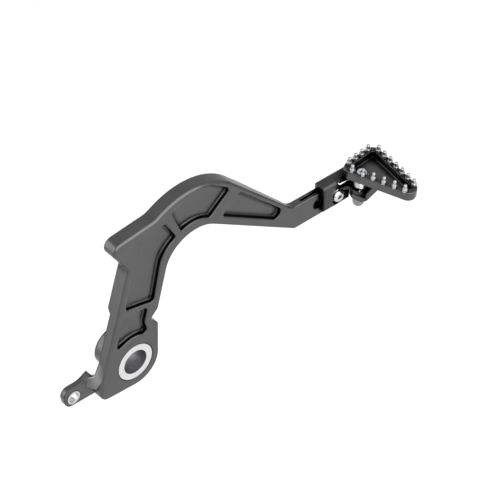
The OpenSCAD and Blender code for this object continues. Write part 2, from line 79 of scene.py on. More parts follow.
class Bench:
    """The node tree of a material or a world, with short ways to add and join its nodes."""

    mottle_span: Span = (0.3, 0.7)
    fineness: float = 0.55
    samples: int = 8

    def __init__(self, owner: bpy.types.Material | bpy.types.World) -> None:
        """Empties the tree of its owner.

        Args:
            owner: The new material or world.
        """
        self.owner = owner
        self.owner.use_nodes = True
        self.tree = self.owner.node_tree
        self.tree.nodes.clear()

    def add(self, kind: str, values: dict[str | int, object] | None = None,
            **settings: object) -> bpy.types.Node:
        """Adds one node.

        Args:
            kind: The node's type name in Blender.
            values: Values for its input sockets, by name or number.
            settings: Values for its own properties.

        Returns:
            The new node.
        """
        node = self.tree.nodes.new(kind)
        for key, value in settings.items():
            setattr(node, key, value)
        for key, value in (values or {}).items():
            node.inputs[key].default_value = value
        return node

    def join(self, start: bpy.types.NodeSocket, end: bpy.types.NodeSocket) -> None:
        """Links an output socket to an input socket."""
        self.tree.links.new(start, end)

    def place(self) -> bpy.types.NodeSocket:
        """Returns the position on the piece, in metres."""
        return self.add("ShaderNodeTexCoord").outputs["Object"]

    def noise(self, scale: float, detail: float = 3.0) -> bpy.types.NodeSocket:
        """Adds a noise in the piece's own space.

        Args:
            scale: Grains to the metre.
            detail: Octaves of finer noise.

        Returns:
            The noise's factor.
        """
        node = self.add("ShaderNodeTexNoise", {"Scale": scale, "Detail": detail,
                                               "Roughness": self.fineness})
        self.join(self.place(), node.inputs["Vector"])
        return node.outputs["Fac"]

    def ramp(self, factor: bpy.types.NodeSocket, low: Colour,
             high: Colour) -> bpy.types.NodeSocket:
        """Turns a factor into a colour between two.

        Args:
            factor: The factor's socket.
            low: Colour at the start of the mottle's span.
            high: Colour at its end.

        Returns:
            The colour's socket.
        """
        node = self.add("ShaderNodeValToRGB")
        for stop, place, colour in zip(node.color_ramp.elements, self.mottle_span, (low, high)):
            stop.position = place
            stop.color = (*colour, 1.0)
        self.join(factor, node.inputs["Fac"])
        return node.outputs["Color"]

    def along(self, axis: str, start: float, behind: float, ahead: float,
              blur: float) -> bpy.types.NodeSocket:
        """Gives a value that changes from one to another at a place along an axis.

        Args:
            axis: The axis, X, Y or Z.
            start: The place, in metres.
            behind: The value behind it.
            ahead: The value ahead of it.
            blur: Half the length of the change, in metres.

        Returns:
            The value's socket.
        """
        split = self.add("ShaderNodeSeparateXYZ")
        self.join(self.place(), split.inputs["Vector"])
        return self.span(split.outputs[axis], start - blur, start + blur, behind, ahead)

    def steepness(self, flat: float = 0.8, steep: float = 0.4) -> bpy.types.NodeSocket:
        """Gives 1 on faces that run along Y, such as a pocket's walls, and 0 on the arm's flat faces.

        Args:
            flat: The normal's share along Y from which a face counts as flat.
            steep: The share below which it counts as a wall.

        Returns:
            The value's socket.
        """
        split = self.add("ShaderNodeSeparateXYZ")
        self.join(self.add("ShaderNodeTexCoord").outputs["Normal"], split.inputs["Vector"])
        size = self.add("ShaderNodeMath", operation="ABSOLUTE")
        self.join(split.outputs["Y"], size.inputs[0])
        return self.span(size.outputs[0], steep, flat, 1.0, 0.0)

    def softened_edges(self, radius: float,
                       width: bpy.types.NodeSocket | None = None) -> bpy.types.NodeSocket:
        """Rounds each edge in the light.

        Args:
            radius: The rounding's radius in metres.
            width: A socket that gives the radius instead, where it changes over the piece.

        Returns:
            The rounded normal.
        """
        bevel = self.add("ShaderNodeBevel", {"Radius": radius}, samples=self.samples)
        if width is not None:
            self.join(width, bevel.inputs["Radius"])
        return bevel.outputs["Normal"]

    def openness(self, reach: float, inside: bool = False) -> bpy.types.NodeSocket:
        """Feels how open a place is.

        Args:
            reach: How far a recess or a corner is felt, in metres.
            inside: Whether the metal's own sharp corners are felt instead of recesses.

        Returns:
            A value from 0, shut in, to 1, open.
        """
        return self.add("ShaderNodeAmbientOcclusion", {"Distance": reach}, samples=self.samples,
                        inside=inside, only_local=inside).outputs["AO"]

    def span(self, factor: bpy.types.NodeSocket, start: float, end: float, low: float,
             high: float) -> bpy.types.NodeSocket:
        """Turns the part of a factor between a start and an end into values from low to high.

        Args:
            factor: The factor's socket.
            start: The factor that gives the low value.
            end: The factor that gives the high value.
            low: The low value.
            high: The high value.

        Returns:
            The value's socket.
        """
        node = self.add("ShaderNodeMapRange", {"From Min": start, "From Max": end,
                                               "To Min": low, "To Max": high})
        self.join(factor, node.inputs["Value"])
        return node.outputs["Result"]

    def scaled(self, colour: bpy.types.NodeSocket,
               share: bpy.types.NodeSocket) -> bpy.types.NodeSocket:
        """Multiplies a colour by a share.

        Args:
            colour: The colour's socket.
            share: The share's socket.

        Returns:
            The new colour's socket.
        """
        node = self.add("ShaderNodeVectorMath", operation="SCALE")
        self.join(colour, node.inputs[0])
        self.join(share, node.inputs["Scale"])
        return node.outputs["Vector"]

    def mixed(self, factor: bpy.types.NodeSocket, low: float,
              high: bpy.types.NodeSocket) -> bpy.types.NodeSocket:
        """Mixes a fixed value and a changing one by a factor.

        Args:
            factor: The factor's socket.
            low: The fixed value, where the factor is 0.
            high: The changing value's socket, for where it is 1.

        Returns:
            The value's socket.
        """
        node = self.add("ShaderNodeMix", {2: low})
        self.join(factor, node.inputs[0])
        self.join(high, node.inputs[3])
        return node.outputs[0]

    def bump(self, height: bpy.types.NodeSocket, depth: float, normal: bpy.types.NodeSocket,
             strength: float) -> bpy.types.NodeSocket:
        """Adds a relief.

        Args:
            height: The relief's height, from 0 to 1.
            depth: Its depth in metres.
            normal: A normal to lay it on.
            strength: How much of it shows.

        Returns:
            The new normal.
        """
        node = self.add("ShaderNodeBump", {"Strength": strength, "Distance": depth})
        self.join(height, node.inputs["Height"])
        self.join(normal, node.inputs["Normal"])
        return node.outputs["Normal"]

    def seen(self) -> bpy.types.NodeSocket:
        """Tells the rays that show a thing from those that only light the object.

        Returns:
            A value of 1 for camera, mirrored and transmitted rays, and of 0 for the others.
        """
        path = self.add("ShaderNodeLightPath")
        found = path.outputs["Is Camera Ray"]
        for ray in ("Is Glossy Ray", "Is Transmission Ray"):
            either = self.add("ShaderNodeMath", operation="MAXIMUM")
            self.join(found, either.inputs[0])
            self.join(path.outputs[ray], either.inputs[1])
            found = either.outputs[0]
        return found

    def finish(self, shader: bpy.types.Node) -> bpy.types.Material | bpy.types.World:
        """Joins the shader to the output.

        Args:
            shader: The shader's node.

        Returns:
            The tree's owner.
        """
        kind = "World" if isinstance(self.owner, bpy.types.World) else "Material"
        output = self.add(f"ShaderNodeOutput{kind}")
        self.join(shader.outputs[0], output.inputs["Surface"])
        return self.owner

    def metal(self, colour: bpy.types.NodeSocket, roughness: bpy.types.NodeSocket,
              normal: bpy.types.NodeSocket) -> bpy.types.Material:
        """Finishes the material as a metal.

        Args:
            colour: The base colour's socket.
            roughness: The roughness's socket.
            normal: The normal's socket.

        Returns:
            The material.
        """
        shader = self.add("ShaderNodeBsdfPrincipled", {"Metallic": 1.0})
        for name, socket in (("Base Color", colour), ("Roughness", roughness), ("Normal", normal)):
            self.join(socket, shader.inputs[name])
        return self.finish(shader)


@dataclass(frozen=True)
class CoatedAluminium:
    """Forged aluminium under a satin hard coat, with painted shade in each recess and at its sharp edges.

    The painted shade in each recess and on the pocket walls only applies past the place zone_start along the
    zone's axis.
    A gain above 1 for the painted highlight makes a paler patch, low down and forward of its back edge along
    X.
    A gain of 1 for the painted highlight, or a tone of 1 for the painted wall shade, leaves that part out.
    """

    name: str = "coated_aluminium"
    dark: Colour = (0.077, 0.0772, 0.078)
    light: Colour = (0.086, 0.0862, 0.087)
    mottle_scale: float = 70.0
    edge: float = 1.6 * MM
    crease_edge: float = 0.25 * MM
    edge_span: Span = (0.7, 0.93)
    roughness: Span = (0.26, 0.34)
    gloss_scale: float = 260.0
    grain_scale: float = 1500.0
    grain_depth: float = 0.05 * MM
    grain_strength: float = 0.35
    # Painted shade in each recess: its reach, tone and span.
    recess: float = 3.4 * MM
    recess_shade_tone: float = 0.0
    recess_shade_span: Span = (0.77, 0.96)
    zone_axis: str = "X"
    zone_start: float = -24 * MM
    zone_blur: float = 3 * MM
    # Painted shade on the pocket walls: its tone, reach and span.
    wall_shade_tone: float = 1.0
    wall_reach: float = 8 * MM
    wall_shade_span: Span = (0.86, 1.0)
    # Painted shade at the sharp edges: its reach, tone and span.
    corner: float = 1.7 * MM
    edge_shade_tone: float = 0.5
    edge_shade_span: Span = (0.45, 0.95)
    # Painted highlight: its gain, height, blur, back edge and fade.
    highlight_gain: float = 1.0
    highlight_height: float = 1.5 * MM
    highlight_blur: float = 6 * MM
    highlight_back: float = -33.5 * MM
    highlight_fade: float = 3.2 * MM

    def build(self) -> bpy.types.Material:
        """Builds the material.

        Returns:
            The material.
        """
        b = Bench(bpy.data.materials.new(self.name))
        room = b.openness(self.recess)
        width = b.span(room, *self.edge_span, self.crease_edge, self.edge)
        zone = b.along(self.zone_axis, self.zone_start, 0.0, 1.0, self.zone_blur)
        # Painted shade at the metal's sharp edges and outlines.
        corners = b.span(b.openness(self.corner, inside=True), *self.edge_shade_span,
                         self.edge_shade_tone, 1.0)
        # Painted shade in each recess, applied below only past zone_start.
        recess_shade = b.span(room, *self.recess_shade_span, self.recess_shade_tone, 1.0)
        tone = b.ramp(b.noise(self.mottle_scale), self.dark, self.light)
        tone = b.scaled(b.scaled(tone, corners), b.mixed(zone, 1.0, recess_shade))
        # Painted shade that blackens the steep pocket walls past zone_start.
        if self.wall_shade_tone != 1.0:
            walls = b.span(b.openness(self.wall_reach), *self.wall_shade_span, self.wall_shade_tone, 1.0)
            tone = b.scaled(tone, b.mixed(zone, 1.0, b.mixed(b.steepness(), 1.0, walls)))
        # Painted highlight: a paler patch low down and forward of its back edge.
        if self.highlight_gain != 1.0:
            ahead = b.along("X", self.highlight_back, 0.0, 1.0, self.highlight_fade)
            low = b.along("Z", self.highlight_height, self.highlight_gain, 1.0, self.highlight_blur)
            tone = b.scaled(tone, b.mixed(ahead, 1.0, low))
        gloss = b.span(b.noise(self.gloss_scale, detail=4.0), 0.0, 1.0, *self.roughness)
        grain = b.bump(b.noise(self.grain_scale, detail=2.0), self.grain_depth,
                       b.softened_edges(self.edge, width), self.grain_strength)
        return b.metal(tone, gloss, grain)


@dataclass(frozen=True)
class BrightSteel:
    """Bright plated or turned steel, with painted shade in each recess and fine rings round an axis along Y
    where it is turned.
    """

    name: str = "bright_steel"
    colour: Colour = (0.5, 0.502, 0.51)
    shade: Colour = (0.4, 0.402, 0.41)
    roughness: float = 0.3
    smoother: float = 0.07
    rougher: float = 0.09
    lines: float = 0.0
    line_strength: float = 0.5
    mottle_scale: float = 300.0
    gloss_scale: float = 900.0
    grain_scale: float = 2400.0
    grain_strength: float = 0.25
    relief: float = 0.02 * MM
    edge: float = 0.25 * MM
    recess: float = 1.5 * MM
    recess_shade_tone: float = 0.25
    recess_shade_span: Span = (0.4, 0.9)

    def build(self) -> bpy.types.Material:
        """Builds the material.

        Returns:
            The material.
        """
        b = Bench(bpy.data.materials.new(self.name))
        # Painted shade: darker in each recess.
        recess_shade = b.span(b.openness(self.recess), *self.recess_shade_span, self.recess_shade_tone, 1.0)
        tone = b.scaled(b.ramp(b.noise(self.mottle_scale), self.shade, self.colour), recess_shade)
        gloss = b.span(b.noise(self.gloss_scale, detail=4.0), 0.0, 1.0,
                       self.roughness - self.smoother, self.roughness + self.rougher)
        normal = b.bump(b.noise(self.grain_scale), self.relief, b.softened_edges(self.edge),
                        self.grain_strength)
        if self.lines:
            rings = b.add("ShaderNodeTexWave", {"Scale": self.lines, "Distortion": 0.6, "Detail": 2.0},
                          wave_type="RINGS", rings_direction="Y")
            b.join(b.place(), rings.inputs["Vector"])
            normal = b.bump(rings.outputs["Fac"], self.relief, normal, self.line_strength)
        return b.metal(tone, gloss, normal)


@dataclass(frozen=True)
class Moulded:
    """Matt moulded rubber or nylon with a fine grain."""

    name: str
    roughness: float = 0.6
    dark: Colour = (0.012, 0.012, 0.013)
    light: Colour = (0.024, 0.024, 0.025)
    mottle_scale: float = 500.0
    edge: float = 0.2 * MM
    grain_scale: float = 2600.0
    grain_depth: float = 0.03 * MM
    grain_strength: float = 0.5

    def build(self) -> bpy.types.Material:
        """Builds the material.

        Returns:
            The material.
        """
        b = Bench(bpy.data.materials.new(self.name))
        shader = b.add("ShaderNodeBsdfPrincipled", {"Roughness": self.roughness})
        tone = b.ramp(b.noise(self.mottle_scale), self.dark, self.light)
        grain = b.bump(b.noise(self.grain_scale), self.grain_depth, b.softened_edges(self.edge),
                       self.grain_strength)
        b.join(tone, shader.inputs["Base Color"])
        b.join(grain, shader.inputs["Normal"])
        return b.finish(shader)


@dataclass
class Finishes:
    """The finishes of the whole pedal, each built once. Every metal finish has painted shade in each recess;
    the arm's coat also has it on its pocket walls and at its sharp edges, and the root's coat has a painted
    highlight.
    """

    # The arm's coat, with painted shade on its pocket walls.
    coat: bpy.types.Material = field(default_factory=lambda: CoatedAluminium(wall_shade_tone=0.0).build())
    # The root blend's coat, with a painted highlight, painted shade in each recess and no painted edge
    # shade.
    root: bpy.types.Material = field(default_factory=lambda: CoatedAluminium(
        "root_coat_painted_highlight", edge_shade_tone=1.0, highlight_gain=2.1).build())
    # The bracket's coat, with strong painted shade in the hollow round the screw.
    bracket: bpy.types.Material = field(default_factory=lambda: CoatedAluminium(
        "bracket_coat", (0.043, 0.0432, 0.044), (0.051, 0.0512, 0.052), edge=2.0 * MM, recess=8.0 * MM,
        recess_shade_tone=0.05, recess_shade_span=(0.7, 1.0)).build())
    # The pad's coat, with painted shade in its tray, above the zone height along Z.
    pad: bpy.types.Material = field(default_factory=lambda: CoatedAluminium(
        "pad_coat", (0.075, 0.0752, 0.076), (0.084, 0.0842, 0.085), edge=0.9 * MM, recess=9.0 * MM,
        recess_shade_span=(0.58, 0.9), zone_axis="Z", zone_start=66.2 * MM, zone_blur=0.8 * MM).build())
    stud: bpy.types.Material = field(default_factory=lambda: BrightSteel(
        "stud_steel", (0.36, 0.362, 0.37), (0.28, 0.282, 0.29), 0.4, edge=0.12 * MM, recess=0.9 * MM,
        recess_shade_tone=0.4).build())
    steel: bpy.types.Material = field(default_factory=lambda: BrightSteel().build())
    turned: bpy.types.Material = field(default_factory=lambda: BrightSteel(
        "turned_steel", (0.58, 0.582, 0.59), (0.5, 0.502, 0.51), lines=420.0).build())
    # A darker copy of the bright steel, as painted shade inside the pivot bore.
    bore_shade: bpy.types.Material = field(default_factory=lambda: BrightSteel(
        "bore_painted_shade", (0.3, 0.3, 0.31), (0.24, 0.24, 0.25), 0.42).build())
    plated: bpy.types.Material = field(default_factory=lambda: BrightSteel(
        "plated_steel", (0.5, 0.502, 0.51), (0.42, 0.422, 0.43), 0.15, edge=0.12 * MM,
        recess=2.5 * MM).build())
    # The cap nut's steel, with painted shade near the lug.
    nut: bpy.types.Material = field(default_factory=lambda: BrightSteel(
        "nut_steel", (0.22, 0.222, 0.23), (0.17, 0.172, 0.18), 0.22, edge=0.12 * MM,
        recess=4.0 * MM).build())
    wire: bpy.types.Material = field(default_factory=lambda: BrightSteel(
        "spring_wire", (0.66, 0.662, 0.67), (0.52, 0.522, 0.53), 0.24, recess_shade_tone=0.6).build())
    rubber: bpy.types.Material = field(default_factory=lambda: Moulded("seal_rubber").build())
    nylon: bpy.types.Material = field(default_factory=lambda: Moulded("black_nylon", 0.5).build())


class Smoother:
    """Smooth shading that stays crisp at real edges."""

    weld: float = 0.002 * MM
    weight: int = 90

    def __init__(self, angle: float = 50.0) -> None:
        """Builds the node group that sets the shading.

        Args:
            angle: Edges that turn by more degrees than this stay sharp.
        """
        group = bpy.data.node_groups.new("smooth_by_angle", "GeometryNodeTree")
        for way in ("INPUT", "OUTPUT"):
            group.interface.new_socket("Geometry", in_out=way, socket_type="NodeSocketGeometry")
        start, end = group.nodes.new("NodeGroupInput"), group.nodes.new("NodeGroupOutput")
        turn = group.nodes.new("GeometryNodeInputMeshEdgeAngle")
        sharper = group.nodes.new("FunctionNodeCompare")
        sharper.operation = "GREATER_THAN"
        sharper.inputs[1].default_value = math.radians(angle)
        faces, edges = (group.nodes.new("GeometryNodeSetShadeSmooth") for _ in range(2))
        faces.domain, edges.domain = "FACE", "EDGE"
        edges.inputs["Shade Smooth"].default_value = False
        for a, b in ((start.outputs[0], faces.inputs[0]),
                     (faces.outputs[0], edges.inputs[0]),
                     (turn.outputs["Unsigned Angle"], sharper.inputs[0]),
                     (sharper.outputs[0], edges.inputs[1]),
                     (edges.outputs[0], end.inputs[0])):
            group.links.new(a, b)
        self.group = group

    def apply(self, piece: bpy.types.Object) -> None:
        """Adds the weld, the shading and weighted normals to a piece as modifiers.

        Args:
            piece: The piece's object.
        """
        weld = piece.modifiers.new("weld", "WELD")
        weld.merge_threshold = self.weld
        piece.modifiers.new("smooth", "NODES").node_group = self.group
        even = piece.modifiers.new("even_normals", "WEIGHTED_NORMAL")
        even.mode, even.weight, even.keep_sharp = "FACE_AREA", self.weight, True


@dataclass
class Workshop:
    """What every sub-assembly needs: the CAD nodes, the finishes and the smoother."""

    nodes: dict[str, bpy.types.Object]
    finishes: Finishes
    smoother: Smoother

    def dress(self, node: str, material: bpy.types.Material) -> bpy.types.Object:
        """Gives a CAD node its finish and smooth shading.

        Args:
            node: The node's name.
            material: Its finish.

        Returns:
            The node's object.
        """
        piece = self.nodes[node]
        piece.data.materials.clear()
        piece.data.materials.append(material)
        self.smoother.apply(piece)
        LOG.info("dressed %s in %s", node, material.name)
        return piece

    def add(self, name: str, data: bpy.types.Mesh | bpy.types.Curve, body: Body, slot: Slot,
            material: bpy.types.Material, *replaced: str) -> bpy.types.Object:
        """Places a new piece on a body.

        Args:
            name: The piece's name.
            data: Its mesh or curve, in the row frame.
            body: The body that it rides on.
            slot: Not used.
            material: Its finish.
            replaced: The CAD nodes that it stands for.

        Returns:
            The new object.
        """
        piece = bpy.data.objects.new(name, data)
        bpy.context.scene.collection.objects.link(piece)
        data.materials.append(material)
        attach(piece, body.value)
        if replaced:
            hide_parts(*replaced)
        LOG.info("made %s on %s", name, body.value)
        return piece


@dataclass
class HingeFrame:
    """The hinge's own axes: Z runs up along the bolt from the top of the ear.

    The place is in millimetres and the lean, towards the outboard side as it rises, in degrees.
    """

    x: float = 197.8
    y: float = -9.0
    z: float = 57.9
    lean: float = 7.0

    def matrix(self) -> Matrix:
        """Returns the turn and shift from hinge millimetres to row metres."""
        return (Matrix.Translation((self.x * MM, self.y * MM, self.z * MM))
                @ Matrix.Rotation(math.radians(self.lean), 4, "X") @ Matrix.Scale(MM, 4))


def rounded(radius: float) -> Girth:
    """Returns the girth of a round ring: the same radius at each angle."""
    return lambda angle: radius


def six_sided(corner: float, cap: float = math.inf) -> Girth:
    """Gives the girth of a six-sided ring.

    Args:
        corner: The radius of its corners.
        cap: The radius that a chamfer cuts its corners to.

    Returns:
        The ring's radius by angle.
    """
    side = math.pi / 3
    return lambda angle: min(cap, corner * math.cos(side / 2) / math.cos(angle % side - side / 2))


def threaded(radius: float, height: float, pitch: float) -> Girth:
    """Gives the girth of a ring across a screw thread.

    Args:
        radius: The thread's outer radius.
        height: The ring's height along the screw.
        pitch: The thread's pitch.

    Returns:
        The ring's radius by angle.
    """
    depth = THREAD_DEPTH_PER_PITCH * pitch
    return lambda angle: radius - depth * abs(2 * ((height / pitch - angle / math.tau) % 1.0) - 1)


def baked(bm: bmesh.types.BMesh, name: str) -> bpy.types.Mesh:
    """Turns a bmesh's faces outward and makes a mesh of it.

    Args:
        bm: The bmesh, which is freed.
        name: The mesh's name.

    Returns:
        The mesh.
    """
    bmesh.ops.recalc_face_normals(bm, faces=bm.faces)
    mesh = bpy.data.meshes.new(name)
    bm.to_mesh(mesh)
    bm.free()
    return mesh


@dataclass
class Turner:
    """Builds turned and six-sided pieces as skins over rings round their own Z axis, in millimetres."""

    steps: int = 48
    dome_steps: int = 8
    seat_bevel: float = 0.12
    lip: float = 0.3
    key_mouth: float = 0.15
    key_bevel: float = 0.2
    drill_depths: Span = (0.25, 0.4)
    drill_tip: float = 0.05
    nut_bevel: float = 0.35
    nut_cap: float = 0.9
    nut_mouth: float = 0.3

    def rings(self, bm: bmesh.types.BMesh, profile: list[Ring], place: Matrix, hollow: bool) -> None:
        """Skins one piece.

        Args:
            bm: The mesh that takes it.
            profile: The height and girth of each ring, in order along the skin.
            place: The matrix from the piece's millimetres to row metres.
            hollow: Whether the skin closes on its first ring, as a nut's does, and not with two caps.
        """
        loops = []
        for height, girth in profile:
            loop = []
            for i in range(self.steps):
                angle = math.tau * i / self.steps
                radius = girth(angle)
                point = Vector((radius * math.cos(angle), radius * math.sin(angle), height))
                loop.append(bm.verts.new(place @ point))
            loops.append(loop)
        pairs = list(zip(loops, loops[1:]))
        if hollow:
            pairs.append((loops[-1], loops[0]))
        else:
            bm.faces.new(loops[0])
            bm.faces.new(loops[-1])
        for low, high in pairs:
            for i in range(self.steps):
                j = (i + 1) % self.steps
                bm.faces.new((low[i], low[j], high[j], high[i]))

    def mesh(self, name: str, profile: list[Ring], places: list[Matrix],
             hollow: bool = False) -> bpy.types.Mesh:
        """Builds one mesh with a piece at each place.

        Args:
            name: The mesh's name.
            profile: The height and girth of each ring.
            places: The matrices from the pieces' millimetres to row metres.
            hollow: Whether the skin closes on its first ring.

        Returns:
            The mesh.
        """
        bm = bmesh.new()
        for place in places:
            self.rings(bm, profile, place, hollow)
        return baked(bm, name)

    def button_head(self, low: float, radius: float, height: float, top: float,
                    key: float, depth: float) -> list[Ring]:
        """Gives the rings of a domed head with a six-sided socket.

        Args:
            low: The height of the head's seat.
            radius: The head's radius.
            height: Its height.
            top: The radius of its flat top.
            key: The radius of the socket's corners.
            depth: The socket's depth.

        Returns:
            The rings from the seat to the bottom of the socket.
        """
        crown = low + height
        rings = [(low, rounded(radius - self.seat_bevel)), (low + self.seat_bevel, rounded(radius)),
                 (low + self.lip, rounded(radius))]
        for i in range(1, self.dome_steps + 1):
            turn = math.pi / 2 * i / self.dome_steps
            rings.append((low + self.lip + (height - self.lip) * math.sin(turn),
                          rounded(top + (radius - top) * math.cos(turn))))
        return rings + [(crown, rounded(key + self.key_mouth)),
                        (crown - self.key_bevel, six_sided(key)),
                        (crown - depth, six_sided(key)),
                        (crown - depth - self.drill_depths[0], rounded(key / 2)),
                        (crown - depth - self.drill_depths[1], rounded(self.drill_tip))]

    def nut_body(self, low: float, high: float, corner: float, bore: float,
                 bevel: float | None = None, cap: float | None = None) -> list[Ring]:
        """Gives the rings of a nut's six sides, from its low face to the high mouth of its bore.

        Args:
            low: The height of its low face.
            high: The height of its high face.
            corner: The radius of its corners.
            bore: The radius of its bore.
            bevel: The height of the bevel at its high face, where it isn't nut_bevel.
            cap: The share of the corners' radius left there, where it isn't nut_cap.

        Returns:
            The rings.
        """
        bevel = self.nut_bevel if bevel is None else bevel
        cap = self.nut_cap if cap is None else cap
        return [(low, six_sided(corner, corner * self.nut_cap)),
                (low + self.nut_bevel, six_sided(corner)),
                (high - bevel, six_sided(corner)),
                (high, six_sided(corner, corner * cap)),
                (high, rounded(bore + self.nut_mouth)),
                (high - self.nut_mouth, rounded(bore))]


@dataclass
class PedalArm:
    """The forged arm with its pivot bush, seal and push rod eye."""

    shop: Workshop
    bore_radius: float = 10.0
    bore_play: float = 0.1

    def build(self) -> None:
        """Dresses the arm's nodes."""
        finishes = self.shop.finishes
        self.shop.dress("pedal_arm", finishes.coat)
        self.shade_bore(self.shop.dress("pivot_bush", finishes.turned))
        self.shop.dress("pivot_seal", finishes.rubber)
        self.shop.dress("rod_eye_bush", finishes.steel)

    def shade_bore(self, bush: bpy.types.Object) -> None:
        """Gives the bore of the bush a darker copy of the steel, as painted shade inside the bore.

        Args:
            bush: The pivot bush's object.
        """
        bush.data.materials.append(self.shop.finishes.bore_shade)
        for face in bush.data.polygons:
            if math.hypot(face.center.x, face.center.z) < (self.bore_radius + self.bore_play) * MM:
                face.material_index = 1


@dataclass
class RootBlend:
    """The hollow blend of the forging where the arm's rear edge runs out into the push rod lug."""

    shop: Workshop
    edge_top: Span = (-24.5, 18.0)
    edge_low: Span = (-30.7, -7.6)
    outer: float = 1.6
    arm_back: float = 7.9
    lug_face: float = 12.3
    top: float = 9.0
    low: float = -11.5
    rise: float = 8.0
    rise_share: float = 0.3
    lug_top: float = -1.0
    lug_fade: float = 2.5
    spread: float = 5.6
    fade: float = 7.5
    hollow: Span = (0.45, 0.55)
    overlap: float = 0.08
    depth: float = 1.0
    cells: int = 18

    def edge(self, z: float) -> float:
        """Returns the place along X of the arm's rear edge at a height."""
        slope = (self.edge_top[0] - self.edge_low[0]) / (self.edge_top[1] - self.edge_low[1])
        return max(self.edge_low[0], self.edge_top[0] + slope * (z - self.edge_top[1]))

    def point(self, across: float, down: float) -> Vector:
        """Gives a point of the hollow face.

        Args:
            across: The share of the way from the outboard side to the lug.
            down: The share of the way from the top to the bottom.

        Returns:
            The point in millimetres.
        """
        low = self.low + self.rise * max(0.0, self.rise_share - across) / self.rise_share
        z = self.top + (low - self.top) * down
        reach = min(1.0, max(0.0, (self.lug_top - z) / self.lug_fade))
        back = self.arm_back + (self.lug_face - self.arm_back) * reach
        y = self.outer + across * (back - self.outer)
        share = (y - self.outer) / (self.lug_face - self.outer)
        curve = self.hollow[0] * share + self.hollow[1] * share * share
        swell = self.spread * (1.0 - math.exp(-(self.top - z) / self.fade)) * curve
        return Vector((self.edge(z) + self.overlap - swell, y, z))

    def build(self) -> None:
        """Builds the blend and lets it ride on the arm."""
        bm = bmesh.new()
        marks = range(self.cells + 1)
        face = [[self.point(i / self.cells, j / self.cells) for j in marks] for i in marks]
        front = [[bm.verts.new(point * MM) for point in row] for row in face]
        back = [[bm.verts.new(Vector((self.edge(point.z) + self.depth, point.y, point.z)) * MM)
                 for point in row] for row in face]
        for grid in (front, back):
            for i in range(self.cells):
                for j in range(self.cells):
                    bm.faces.new((grid[i][j], grid[i + 1][j], grid[i + 1][j + 1], grid[i][j + 1]))
        rim = ([(i, 0) for i in range(self.cells)]
               + [(self.cells, j) for j in range(self.cells)]
               + [(i, self.cells) for i in range(self.cells, 0, -1)]
               + [(0, j) for j in range(self.cells, 0, -1)])
        for (i, j), (k, m) in zip(rim, rim[1:] + rim[:1]):
            bm.faces.new((front[i][j], front[k][m], back[k][m], back[i][j]))
        mesh = baked(bm, "root_blend")
        self.shop.smoother.apply(
            self.shop.add("root_blend", mesh, Body.PEDAL, Slot.COAT, self.shop.finishes.root))


@dataclass
class ToeBracket:
    """The bracket on the tail, with its screw, washer and nut.

    Heights are in millimetres along the screw, from the seat of its flange.
    """

    shop: Workshop
    turner: Turner
    x: float = 183.0
    seat: float = -1.5
    z: float = 51.6
    shank: float = 2.95
    shank_end: float = -14.5
    point: float = 0.7
    point_height: float = 0.6
    thread_low: float = 0.8
    thread_start: float = -7.0
    runout: float = 0.4
    pitch: float = 1.0
    pitch_rings: int = 4
    flange: float = 5.5
    flange_height: float = 0.8
    seat_bevel: float = 0.2
    bevel: float = 0.25
    head: float = 4.9
    head_height: float = 2.5
    head_top: float = 2.1
    key: float = 1.8
    key_depth: float = 1.6
    nut_low: float = -14.2
    nut_high: float = -9.2
    nut_corner: float = 5.77
    nut_play: float = 0.05
    nut_mouth: Span = (0.5, 0.45)

    def place(self) -> Matrix:
        """Returns the turn and shift from the screw's millimetres, Z out of its head, to row metres."""
        return (Matrix.Translation((self.x * MM, self.seat * MM, self.z * MM))
                @ Matrix.Rotation(math.radians(90), 4, "X") @ Matrix.Scale(MM, 4))

    def screw(self) -> bpy.types.Mesh:
        """Builds the flanged button head screw with its thread.

        Returns:
            The mesh.
        """
        r, end, first = self.shank, self.shank_end, self.shank_end + self.thread_low
        rings = [(end, rounded(r - self.point)), (end + self.point_height, rounded(r - self.bevel))]
        for i in range(round((self.thread_start - first) / self.pitch * self.pitch_rings) + 1):
            height = first + i * self.pitch / self.pitch_rings
            rings.append((height, threaded(r, height, self.pitch)))
        rings += [(self.thread_start + self.runout, rounded(r)), (0.0, rounded(r)),
                  (0.0, rounded(self.flange - self.seat_bevel)), (self.seat_bevel, rounded(self.flange)),
                  (self.flange_height - self.bevel, rounded(self.flange)),
                  (self.flange_height, rounded(self.flange - self.bevel))]
        rings += self.turner.button_head(self.flange_height, self.head, self.head_height,
                                         self.head_top, self.key, self.key_depth)
        return self.turner.mesh("flanged_screw", rings, [self.place()])

    def nut(self) -> bpy.types.Mesh:
        """Builds the chamfered nut behind the tail.

        Returns:
            The mesh.
        """
        low, bore = self.nut_low, self.shank + self.nut_play
        rings = [(low + self.nut_mouth[0], rounded(bore)), (low, rounded(bore + self.nut_mouth[1]))]
        rings += self.turner.nut_body(low, self.nut_high, self.nut_corner, bore)
        return self.turner.mesh("hex_nut", rings, [self.place()], hollow=True)

    def build(self) -> None:
        """Dresses the bracket and builds its screw and nut."""
        finishes = self.shop.finishes
        self.shop.dress("toe_bracket", finishes.bracket)
        self.shop.dress("bracket_washer", finishes.steel)
        for name, mesh, node in (("flanged_screw", self.screw(), "bracket_screw"),
                                 ("hex_nut", self.nut(), "bracket_nut")):
            self.shop.smoother.apply(
                self.shop.add(name, mesh, Body.PEDAL, Slot.STEEL, finishes.plated, node))


